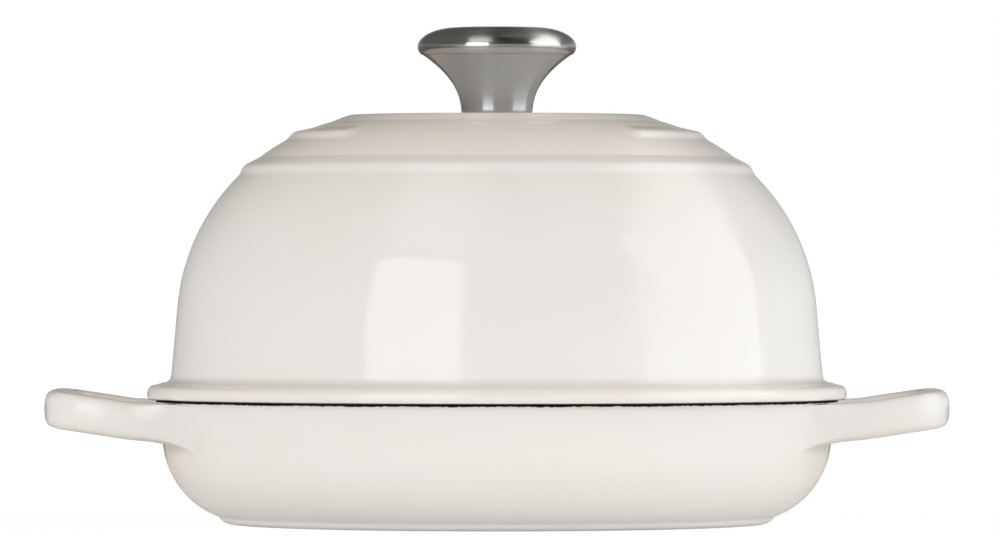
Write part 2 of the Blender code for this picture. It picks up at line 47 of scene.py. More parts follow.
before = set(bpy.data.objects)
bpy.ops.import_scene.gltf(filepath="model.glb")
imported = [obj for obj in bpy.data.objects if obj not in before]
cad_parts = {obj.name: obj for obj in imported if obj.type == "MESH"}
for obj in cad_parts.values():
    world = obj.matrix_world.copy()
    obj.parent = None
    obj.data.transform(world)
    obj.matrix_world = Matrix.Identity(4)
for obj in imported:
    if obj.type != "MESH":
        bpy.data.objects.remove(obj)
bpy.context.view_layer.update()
KNOB_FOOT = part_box("knob_body")[0].z

MM = 0.001
TOUCH = 0.005 * MM  # points nearer than this count as one
SHARP_ANGLE = math.radians(50)  # folds above this are shaded as edges
CLEAR_OF_BORDER = 20.0  # millimetres that stand for the handles' way from the black enamel

# Steels: roughness, how far the rings stretch the mirror image, share of haze, then spacing and
# depth of the coarser rings. What each gives the eye stands behind it.
SATIN = (0.14, 0.6, 0.3, 0.8 * MM, 0.0006 * MM)  # soft streaks down the trumpet
POLISHED = (0.12, 0.7, 0.32, 0.8 * MM, 0.00005 * MM)  # a mirror under a slight haze
PLATED = (0.28, 0.3, 0.3, 0.5 * MM, 0.002 * MM)  # a pale, even shine
TURNED = (0.36, 0.5, 0.5, 0.5 * MM, 0.005 * MM)  # a dull grey with tool marks
HAZE = (0.36, 0.9)  # its roughness and stretch
ALONG_THE_RINGS = (0.02, 0.02, 1.0)  # scale that draws a pattern out level, 50 times
BLACK_ROUGHNESS = 0.55

# A smooth ramp, and a mix of colours, which takes them at 6 and 7 and gives one at 2
SMOOTH = {"interpolation_type": "SMOOTHSTEP"}
COLOURS = {"data_type": "RGBA"}

# Each smooth ramp runs over a value from 1 to 2, and goes from what stands at 3, or else 0, to
# what stands at 4, or else 1. Enamel: by millimetres from the line where cream and black meet,
# then by how sharply the outline turns
CREAM_BY_LINE = {1: -0.06, 2: 0.06}
THIN_BY_EDGE = {1: 0.25, 2: 1.1, 4: 0.55}
# Hollows darken: partly pooled enamel, partly painted shade
POOLED_AND_SHADE_BY_EDGE = {1: -0.12, 2: -0.6, 4: 0.5}
# Floor: by metres from the middle, for the painted shade that greys the paper further off,
# pools of lamp light, the glow from below and the share of the shadow that plain white covers
PAPER_SHADE_BY_REACH = {1: 0.28, 2: 0.65}
POOLS_BY_REACH = {1: 0.5, 2: 1.0}
UNDERGLOW_BY_REACH = {1: 0.3, 2: 0.6, 3: 0.1, 4: 0.0}
COVER_BY_REACH = {1: 0.17, 2: 0.36, 3: 0.84, 4: 1.0}
# Fill: by a direction's upward part, and by its part away from the camera
WARMTH_BY_HEIGHT = {1: 0.08, 2: 0.72}
FILL_BY_DEPTH = {1: -0.2, 2: 0.8, 3: 2.85, 4: 2.1}

FLOOR_RADIUS = 30.0
ROOM_RADIUS = 12.0
BAND_BY_HEIGHT = {1: 0.05 * ROOM_RADIUS, 2: 0.34 * ROOM_RADIUS, 3: 1.0, 4: 0.0}
FLOOR_WHITE = 1.08  # what the camera sees of it: a little over white
# Fill light by share of the way from the left to the right
FILL_LEVELS = ((0.0, 1.0), (0.25, 0.76), (0.5, 0.25), (1.0, 1.47))
# Brightness of the room's walls, of the lighter band at their foot and of the pools of lamp
# light on the far floor, by share of a turn from the left over the front (0.25) and the right
WALL_LEVELS = ((0.0, 0.12), (0.14, 0.1), (0.25, 0.05), (0.3, 0.025), (0.38, 0.03), (0.45, 0.1))
WALL_LEVELS += ((0.55, 0.2), (0.66, 0.18), (0.75, 0.08), (0.84, 0.12), (0.91, 0.14), (1.0, 0.12))
BAND_LEVELS = ((0.0, 0.25), (0.1, 0.5), (0.25, 0.6), (0.45, 0.45), (0.56, 0.42))
BAND_LEVELS += ((0.66, 0.4), (0.75, 0.3), (0.9, 0.08), (1.0, 0.25))
POOL_LEVELS = ((0.0, 0.0), (0.07, 0.1), (0.13, 0.8), (0.21, 0.8), (0.25, 0.3), (0.37, 0.3))
POOL_LEVELS += ((0.42, 0.8), (0.55, 0.8), (0.62, 0.1), (1.0, 0.0))
# Lamp light on the ceiling and the right wall: a brightness, then limits to the way from the
# set, each an axis with the values along it where the light starts and where it is full
CEILING_LIMITS = (((0, 1, 0), 0.42, -0.5), ((-1, 0, 0), 0.02, 0.2))
CEILING_LIMITS += (((-1, 0.34, 0), 0.44, 0.34), ((0, 0, 1), 0.58, 0.7))
WALL_LIMITS = (((0, 1, 0), 0.9, 0.25), ((1, 0.425, 0), 0.43, 0.64))
WALL_LIMITS += (((0.9, 1, 0), 1.18, 0.98), ((0, 0, 1), 0.97, 0.74))
SPILLS = ((0.95, CEILING_LIMITS), (1.7, WALL_LIMITS))

# Soft boxes: centre, the point they face, width and height, rounding of the corners and width of
# the dimmer band
LEFT_BOX = {"place": (-1.046, -1.885, 0.82), "aim": (0.0, -0.1, 0.82), "size": (1.35, 1.54)}
LEFT_BOX |= {"corner": 0.22, "soft": 0.05}
RIGHT_BOX = {"place": (1.547, -0.203, 0.751), "aim": (0.047, -0.103, 0.031)}
RIGHT_BOX |= {"size": (1.48, 1.38), "corner": 0.1, "soft": 0.1}
BOX_EDGE_SHARE = 0.6  # brightness of a soft box at its edge

SENSOR_WIDTH = 36.0  # millimetres
FRAME_SHIFT = -0.019  # of the frame's width
CAMERA_ASIDE = 1.1 * MM
CAMERA_RANGE = 100.0


def linear(code):
    """A colour's sRGB hex code as linear red, green and blue."""
    channels = [int(code[k : k + 2], 16) / 255 for k in (1, 3, 5)]
    return tuple(c / 12.92 if c <= 0.04045 else ((c + 0.055) / 1.055) ** 2.4 for c in channels)


def in_mm(name, description, value):
    default = value * MM
    return FloatProperty(name=name, description=description, default=default, unit="LENGTH")


def in_degrees(name, description, value):
    default = math.radians(value)
    return FloatProperty(name=name, description=description, default=default, unit="ROTATION")


def as_share(name, description, value):
    kind = {"min": 0, "max": 1, "subtype": "FACTOR"}
    return FloatProperty(name=name, description=description, default=value, **kind)


def as_number(name, description, value):
    return FloatProperty(name=name, description=description, default=value, min=0)


def as_colour(name, description, code):
    kind = {"min": 0, "max": 1, "subtype": "COLOR"}
    return FloatVectorProperty(name=name, description=description, default=linear(code), **kind)


class PanSizes(bpy.types.PropertyGroup):
    """Sizes of the pan"""

    rim_radius: in_mm("Rim radius", "Outside of the wall at the rim", 123.3)
    rim_height: in_mm("Rim height", "From the table to the rim", 44.6)
    black_edge: in_mm("Black edge", "Black enamel down from the rim", 0.46)
    rim_round: in_mm("Rim rounding", "Rounding of the rim's edges", 0.8)
    thickness: in_mm("Thickness", "Thickness of the casting", 4.0)
    draft: in_degrees("Draft", "Lean of the wall", 9.5)
    corner: in_mm("Corner", "Outside radius between wall and bottom", 30.5)
    foot_reach: in_mm("Foot reach", "Foot under the round corner", 8.6)
    foot_flare: in_mm("Foot flare", "Spread of the foot's upper edge", 1.8)
    foot_edge: in_mm("Foot edge", "Rounding of the foot's lower edge", 3.0)
    foot_band: in_mm("Foot band", "Width of the ring it stands on", 14.0)
    foot_height: in_mm("Foot height", "Height of that ring", 0.8)
    ring_spacing: in_mm("Ring spacing", "Between the floor's rings", 22.0)
    ring_width: in_mm("Ring width", "Width of a floor ring", 4.0)
    ring_height: in_mm("Ring height", "Height of a floor ring", 1.0)


class HandleSizes(bpy.types.PropertyGroup):
    """Sizes of the two loop handles"""

    length: in_mm("Length", "Beyond the rim", 39.6)
    spread: in_mm("Spread", "Centre line of a strap from the middle", 42.0)
    thickness: in_mm("Thickness", "Thickness of the strap", 9.0)
    height: in_mm("Height", "Height of the strap", 13.5)
    drop: in_mm("Drop", "Top of the strap below the rim", 1.3)
    rise: in_degrees("Rise", "Climb of the strap", 8.7)
    strap_squareness: as_share("Strap squareness", "How far a strap runs before its bend", 0.96)
    grip_squareness: as_share("Grip squareness", "How far the grip runs before its bend", 0.86)
    section_power: as_number("Section", "An oval at 2, nearly a box at 5", 2.8)
    root_length: in_mm("Root length", "Spread root beyond the rim", 10.0)
    root_width: in_mm("Root width", "Spread root on the wall", 31.0)
    root_flare: in_mm("Root flare", "Root below the strap", 3.9)
    root_ledge: in_mm("Root ledge", "Root below the rim's rounding", 0.8)
    root_sweep: as_number("Root sweep", "How closely the root follows the wall", 1.6)


class LidSizes(bpy.types.PropertyGroup):
    """Sizes of the lid"""

    seat_gap: in_mm("Seat gap", "Between lid and rim", 0.3)
    lip_clearance: in_mm("Lip clearance", "Between lip and pan", 1.0)
    height: in_mm("Height", "From the rim to the crown", 102.7)
    thickness: in_mm("Thickness", "Thickness of the casting", 4.0)
    draft: in_degrees("Draft", "Lean of the wall", 5.1)
    wall_inset: in_mm("Wall inset", "Wall inside the pan's rim", 5.4)
    dome_radius: in_mm("Dome radius", "Radius of the dome's arc", 76.0)
    dome_swell: in_mm("Dome swell", "Top of the arc above the crown", 0.2)
    flange_overhang: in_mm("Flange overhang", "Beyond the pan's rim", 3.0)
    flange_thickness: in_mm("Flange thickness", "Thickness of the flange at the wall", 6.0)
    flange_fall: in_mm("Flange fall", "Fall of its top towards the edge", 0.7)
    flange_fillet: in_mm("Flange fillet", "Fillet between wall and flange", 3.2)
    flange_round: in_mm("Flange rounding", "Rounding of the flange", 3.3)
    flange_under: in_mm("Flange under-rounding", "Rounding below it", 1.3)
    black_edge: in_mm("Black edge", "Black enamel up the flange's rounding", 0.34)
    lip_depth: in_mm("Lip depth", "Lip inside the pan", 3.0)
    screw_hole: in_mm("Screw hole", "Radius of the hole", 3.3)
    plateau_radius: in_mm("Plateau radius", "Flat top of the crown", 52.6)
    plateau_bend: in_mm("Plateau bend", "Sharpness of its edge", 1.3)
    plateau_riser: in_mm("Plateau riser", "Width of its slope", 6.9)
    step_height: in_mm("Step height", "Height of the crown's steps", 1.3)
    step_riser: in_mm("Step riser", "Length of a step's outer face", 3.4)
    middle_width: in_mm("Middle step", "From the plateau's foot to its edge", 16.3)
    middle_tread: in_mm("Middle tread", "Width of its tread", 7.0)
    lower_width: in_mm("Lower step", "From the middle step to its edge", 17.1)
    lower_tread: in_mm("Lower tread", "Width of its tread", 6.0)
    field_azimuth: in_degrees("Field", "Middle of the bare field", -92.0)
    field_half: in_degrees("Field half angle", "Half of the bare field", 41.0)
    field_end: in_degrees("Field end", "Where the step fades out", 6.0)


class KnobSizes(bpy.types.PropertyGroup):
    """Sizes of the knob"""

    foot_radius: in_mm("Foot radius", "Narrow end on the lid", 12.9)
    foot_chamfer: in_mm("Foot chamfer", "Chamfer of the foot", 0.8)
    rim_radius: in_mm("Rim radius", "Wide end of the trumpet", 26.8)
    flare_power: as_number("Flare", "A cone at 1, turning outward more suddenly as it grows", 2.25)
    body_height: in_mm("Trumpet height", "Height of the trumpet", 21.4)
    shell: in_mm("Shell", "Thickness of the pressed steel", 1.3)
    base: in_mm("Base", "Thickness of the trumpet's base", 1.5)
    spigot: in_mm("Spigot", "Height of the neck inside the cap", 2.0)
    seam: in_mm("Seam", "Gap between cap and trumpet", 0.06)
    cap_overhang: in_mm("Cap overhang", "Cap beyond the trumpet", 1.85)
    cap_lip: in_mm("Cap lip", "Cap's lower edge beyond the trumpet", 0.5)
    cap_curl: in_mm("Cap curl", "From the seam to the widest line", 2.84)
    cap_side: in_mm("Cap side", "Nearly upright part below the widest line", 1.6)
    cap_rise: in_mm("Cap rise", "From the widest line to the shoulder", 7.0)
    cap_shoulder: in_mm("Cap shoulder", "Width of the shoulder", 14.2)
    cap_crown: in_mm("Cap crown", "Swell of the cap's top", 0.3)


class FinishColours(bpy.types.PropertyGroup):
    """Colours of the finishes"""

    cream: as_colour("Cream enamel", "Outside", "#EBECED")
    thin: as_colour("Thin enamel", "On sharp edges", "#E9E5DC")
    # Darker in hollows: partly pooled enamel, partly painted shade
    pooled_and_shade: as_colour("Pooled enamel", "In hollows", "#DBD8CF")
    black: as_colour("Black enamel", "Inside and on the rims", "#17171A")
    satin: as_colour("Satin steel", "Trumpet", "#BFC0C2")
    polished: as_colour("Polished steel", "Cap", "#C4C4C3")
    plated: as_colour("Plated steel", "Screw and washer", "#C4C6C8")
    turned: as_colour("Turned steel", "Insert", "#A9A7A2")


class StudioSettings(bpy.types.PropertyGroup):
    """Light, floor and camera"""

    key_glow: as_number("Key glow", "Brightness of the left soft box", 2.6)
    side_glow: as_number("Side glow", "Brightness of the right soft box", 1.95)
    fill: as_number("Fill", "Light from all round", 1.0)
    horizon: as_colour("Horizon", "Fill from the sides", "#F5FBFF")
    zenith: as_colour("Zenith", "Fill from above", "#705934")
    room: as_colour("Room", "Dark room in the reflections", "#FFFCF8")
    near_floor: as_colour("Near floor", "Paper close to the oven", "#E1DCD5")
    # Painted shade: the paper greys further off, where the lamps' light falls away
    far_floor_shade: as_colour("Far floor", "Paper further off", "#6C6C6C")
    camera_distance: in_mm("Camera distance", "From the axis", 3252.0)
    camera_height: in_mm("Camera height", "Above the table", 95.2)
    camera_lens: FloatProperty(name="Lens", description="Focal length", default=324.0, unit="CAMERA")
    sectors: IntProperty(name="Sectors", description="Steps round the axis", default=288, min=24)


def bend(start, corner, end, steps):
    """Rounds the corner between two straight runs of an outline."""
    points = []
    for step in range(steps + 1):
        t = step / steps
        weights = ((1 - t) ** 2, 2 * t * (1 - t), t * t)
        pairs = list(zip(weights, (start, corner, end)))
        points.append(tuple(sum(w * p[k] for w, p in pairs) for k in range(2)))
    return points


def rounded(corners, steps=5):
    """A line through (u, v, cut) corners, each cut back by its own length and rounded."""
    points = []
    for k, (u, v, cut) in enumerate(corners):
        if cut == 0:
            points.append((u, v))
            continue
        here = Vector((u, v))
        before = here + (Vector(corners[k - 1][:2]) - here).normalized() * cut
        after = here + (Vector(corners[k + 1][:2]) - here).normalized() * cut
        points += bend(tuple(before), (u, v), tuple(after), steps)
    return points


def arc(centre, radius, start, end, steps):
    """Points on an arc, by angle from straight up towards +radius."""
    angles = [start + (end - start) * step / steps for step in range(steps + 1)]
    return [(centre[0] + radius * math.sin(a), centre[1] + radius * math.cos(a)) for a in angles]


def line_lengths(outline):
    """Length along an outline up to each of its points."""
    lengths = [0.0]
    for a, b in zip(outline, outline[1:]):
        lengths.append(lengths[-1] + math.dist(a, b))
    return lengths


def edge_values(outline, reach):
    """How sharply an outline turns near each point: above 0 on an edge, below 0 in a hollow."""
    lengths = line_lengths(outline)
    turns = [0.0]
    for a, b, c in zip(outline, outline[1:], outline[2:]):
        before = math.atan2(b[1] - a[1], b[0] - a[0])
        after = math.atan2(c[1] - b[1], c[0] - b[0])
        turns.append(-math.remainder(after - before, 2 * math.pi))
    turns.append(0.0)
    values = []
    for here in lengths:
        near = [(bent, abs(there - here) / reach) for bent, there in zip(turns, lengths)]
        values.append(sum(bent * (1 - away) for bent, away in near if away < 1))
    return values


def turn(outline, sectors, start=0.0, border=None, inside_first=False, reach=2.0 * MM):
    """Turns a closed outline round Z in (angle, steps) sectors that add up to a full turn.

    border is the outline's point where the two enamels meet. Each vertex keeps its distance
    from it, in millimetres and below 0 on the black side, and how sharp the outline is there.
    """
    bm = bmesh.new()
    glaze = bm.verts.layers.float.new("glaze_line")
    edge = bm.verts.layers.float.new("enamel_edge")
    lengths = line_lengths(outline)
    border_length = 0.0
    if border:
        nearest = min(range(len(outline)), key=lambda k: math.dist(outline[k], border))
        border_length = lengths[nearest]
    side = 1 if inside_first else -1
    distances = [side * (length - border_length) / MM for length in lengths]
    sharpness = edge_values(outline, reach)
    azimuths = [start]
    for angle, steps in sectors:
        sector_start = azimuths[-1]
        azimuths += [sector_start + angle * (step + 1) / steps for step in range(steps)]
    columns = []
    for azimuth in azimuths[:-1]:
        column = []
        for k, (radius, height) in enumerate(outline):
            if radius == 0 and columns:
                column.append(columns[0][k])
                continue
            vert = bm.verts.new((radius * math.cos(azimuth), radius * math.sin(azimuth), height))
            vert[glaze] = distances[k]
            vert[edge] = sharpness[k]
            column.append(vert)
        columns.append(column)
    for column, following in zip(columns, columns[1:] + columns[:1]):
        for k in range(len(outline)):
            corners = dict.fromkeys((column[k - 1], column[k], following[k], following[k - 1]))
            if len(corners) > 2:
                bm.faces.new(corners)
    return bm


def mesh_object(name, bm, material):
    mesh = bpy.data.meshes.new(name)
    bm.to_mesh(mesh)
    bm.free()
    mesh.materials.append(material)
    made = bpy.data.objects.new(name, mesh)
    bpy.context.scene.collection.objects.link(made)
    return made


def make_piece(bm, name, body, node, material):
    """Closes a mesh, gives it its finish and lets it stand for a node of the frame."""
    bmesh.ops.recalc_face_normals(bm, faces=bm.faces)
    piece = mesh_object(name, bm, material)
    piece.data.shade_smooth()
    piece.data.set_sharp_from_angle(angle=SHARP_ANGLE)
    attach(piece, body)
    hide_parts(node)
    return piece


class PanShape:
    """Section of the pan, worked out from its sizes."""

    def __init__(self, pan, handle):
        self.pan = pan
        self.handle = handle
        self.corner_height = pan.foot_height + pan.corner
        spread = (pan.rim_height - self.corner_height) * math.tan(pan.draft)
        self.corner_radius = pan.rim_radius - spread - pan.corner / math.cos(pan.draft)
        self.foot_radius = self.corner_radius + pan.foot_reach
        self.below_rim = pan.rim_height - pan.rim_round
        self.level = pan.rim_height - handle.drop - 0.5 * handle.height
        self.root_top = self.below_rim - handle.root_ledge
        self.root_bottom = self.level - 0.5 * handle.height - handle.root_flare

    def radius(self, height):
        """Outside radius at a height: straight wall, then the round corner."""
        pan = self.pan
        if height >= self.corner_height - pan.corner * math.sin(pan.draft):
            return pan.rim_radius - (pan.rim_height - height) * math.tan(pan.draft)
        return self.corner_radius + math.sqrt(pan.corner**2 - (self.corner_height - height) ** 2)

    def inner_radius(self, height):
        return self.radius(height) - self.pan.thickness / math.cos(self.pan.draft)

    def floor_points(self):
        """The floor with its raised rings, from the middle outward."""
        pan = self.pan
        floor = pan.foot_height + pan.thickness
        count = int((self.corner_radius - pan.ring_width) / pan.ring_spacing)
        points = [(0.0, floor)]
        for k in range(count, 0, -1):
            middle = self.corner_radius - pan.ring_spacing * k
            half = 0.5 * pan.ring_width
            crest_half = 0.45 * half
            soft = 0.4 * half
            crest = floor + pan.ring_height
            corners = [(middle - 2 * half, floor, 0), (middle - half, floor, soft)]
            corners += [(middle - crest_half, crest, soft), (middle + crest_half, crest, soft)]
            corners += [(middle + half, floor, soft), (middle + 2 * half, floor, 0)]
            points += rounded(corners, steps=3)
        return points

    def outline(self, root_rows):
        """From the middle of the floor over the rim to the middle of the underside."""
        pan = self.pan
        rim = pan.rim_height
        points = self.floor_points()
        corner = (self.corner_radius, self.corner_height)
        wall_start = math.pi / 2 + pan.draft
        points += arc(corner, pan.corner - pan.thickness, math.pi, wall_start, steps=18)
        inner = self.inner_radius(rim)
        inner_start = (self.inner_radius(self.below_rim), self.below_rim)
        points += bend(inner_start, (inner, rim), (inner + pan.rim_round, rim), steps=5)
        outer_start = (pan.rim_radius - pan.rim_round, rim)
        outer_end = (self.radius(self.below_rim), self.below_rim)
        points += bend(outer_start, (pan.rim_radius, rim), outer_end, steps=10)
        drop = self.root_top - self.root_bottom
        heights = [self.root_top - drop * row / root_rows for row in range(root_rows + 1)]
        points += [(self.radius(height), height) for height in heights]
        below_root = math.asin((self.corner_height - self.root_bottom) / pan.corner)
        foot = math.acos((self.foot_radius + pan.foot_flare - self.corner_radius) / pan.corner)
        corner_steps = 24
        for step in range(1, corner_steps):
            angle = below_root + (foot - below_root) * step / corner_steps
            height = self.corner_height - pan.corner * math.sin(angle)
            points.append((self.radius(height), height))
        foot_top = self.corner_height - pan.corner * math.sin(foot)
        foot_start = (self.foot_radius + pan.foot_flare, foot_top)
        foot_end = (self.foot_radius - pan.foot_edge, 0.0)
        points += bend(foot_start, (self.foot_radius, 0.0), foot_end, steps=10)
        band = self.foot_radius - pan.foot_band
        high = pan.foot_height
        soft = 0.25 * high
        below = [(*foot_end, 0), (band, 0.0, soft), (band - high, high, soft), (0.0, high, 0)]
        points += rounded(below, steps=3)[1:]
        return points

    def root_azimuths(self):
        """First and last azimuth of a handle's root, away from the X axis."""
        middle = math.asin(self.handle.spread / self.pan.rim_radius)
        half = 0.5 * self.handle.root_width / self.pan.rim_radius
        return middle - half, middle + half

    def root_place(self, point):
        """Place of a point on its root, from -1 to 1 outward and upward."""
        inner, outer = self.root_azimuths()
        azimuth = math.atan2(abs(point.y), abs(point.x))
        across = 2 * (azimuth - inner) / (outer - inner) - 1
        up = 2 * (point.z - self.root_bottom) / (self.root_top - self.root_bottom) - 1
        return across, up

    def loop_station(self, t):
        """Centre and outward direction of the +X loop, at t from 0 at +Y to 1 at -Y."""
        handle = self.handle
        end = 1 if t <= 0.5 else -1
        u = 2 * t if t <= 0.5 else 2 - 2 * t
        root_x = self.pan.rim_radius + handle.root_length
        grip_x = self.pan.rim_radius + handle.length - 0.5 * handle.thickness
        a = Vector((root_x, handle.spread))
        b = Vector((root_x + handle.strap_squareness * (grip_x - root_x), handle.spread))
        c = Vector((grip_x, handle.grip_squareness * handle.spread))
        d = Vector((grip_x, 0.0))
        place = a * (1 - u) ** 3 + b * 3 * u * (1 - u) ** 2 + c * 3 * u * u * (1 - u) + d * u**3
        run = (b - a) * (1 - u) ** 2 + (c - b) * 2 * u * (1 - u) + (d - c) * u * u
        outward = Vector((-run.y, run.x)).normalized()
        height = self.level + (place.x - self.pan.rim_radius) * math.tan(handle.rise)
        return Vector((place.x, place.y * end, height)), Vector((outward.x, outward.y * end, 0.0))

    def strap_ring(self, t, places, side):
        """Points round the strap at t, one for each place round the root."""
        centre, outward = self.loop_station(t)
        power = self.handle.section_power
        ring = []
        for across, up in places:
            size = (abs(across) ** power + abs(up) ** power) ** (1 / power)
            out = 0.5 * self.handle.thickness * across / size
            point = centre + outward * out + Vector((0, 0, 0.5 * self.handle.height * up / size))
            ring.append(Vector((point.x * side, point.y, point.z)))
        return ring

    def root_rings(self, border, ring, side, count):
        """Rings that sweep from the wall into the strap, tangent to both."""
        rise = self.handle.rise
        draft = self.pan.draft
        strap_run = Vector((side * math.cos(rise), 0, math.sin(rise)))
        rings = []
        for step in range(1, count):
            t = step / count
            points = []
            for vert, target in zip(border, ring):
                way = target - vert.co
                wall = Vector((vert.co.x, vert.co.y, 0)).normalized() * math.cos(draft)
                wall.z = -math.sin(draft)
                leave = (way - wall * way.dot(wall)) * self.handle.root_sweep
                arrive = strap_run * abs(way.dot(wall))
                point = vert.co * (2 * t**3 - 3 * t**2 + 1) + leave * (t**3 - 2 * t**2 + t)
                point += target * (3 * t**2 - 2 * t**3) + arrive * (t**3 - t**2)
                points.append(point)
            rings.append(points)
        return rings

    def open_roots(self, bm):
        """Takes the wall's faces out where the four strap ends join it."""
        inner, outer = self.root_azimuths()
        doomed = []
        for face in bm.faces:
            centre = face.calc_center_median()
            azimuth = math.atan2(abs(centre.y), abs(centre.x))
            if not (self.root_bottom < centre.z < self.root_top and inner < azimuth < outer):
                continue
            if centre.xy.length > self.radius(centre.z) - 0.5 * self.pan.thickness:
                doomed.append(face)
        bmesh.ops.delete(bm, geom=doomed, context="FACES")

    def root_border(self, bm, side, end):
        """Vertices round one open root, in order: side and end are the signs of x and y."""
        border = [v for v in bm.verts if v.is_boundary and v.co.x * side > 0 and v.co.y * end > 0]
        just_past = math.radians(1)

        def angle(vert):
            across, up = self.root_place(vert.co)
            return (math.atan2(up, across) - just_past) % (2 * math.pi)

        return sorted(border, key=angle)

    def add_handle(self, bm, side, stations, root_rings):
        """Lofts one loop from its root at +Y round to its root at -Y."""
        first = self.root_border(bm, side, 1)
        last = self.root_border(bm, side, -1)
        places = [self.root_place(v.co) for v in first]
        straps = [self.strap_ring(k / stations, places, side) for k in range(stations + 1)]
        rings = self.root_rings(first, straps[0], side, root_rings) + straps
        rings += self.root_rings(last, straps[-1], side, root_rings)[::-1]
        glaze = bm.verts.layers.float["glaze_line"]
        loops = [first]
        for ring in rings:
            loops.append([bm.verts.new(point) for point in ring])
            for vert in loops[-1]:
                vert[glaze] = CLEAR_OF_BORDER
        loops.append(last)
        for loop, following in zip(loops, loops[1:]):
            for k in range(len(loop)):
                bm.faces.new((loop[k - 1], loop[k], following[k], following[k - 1]))


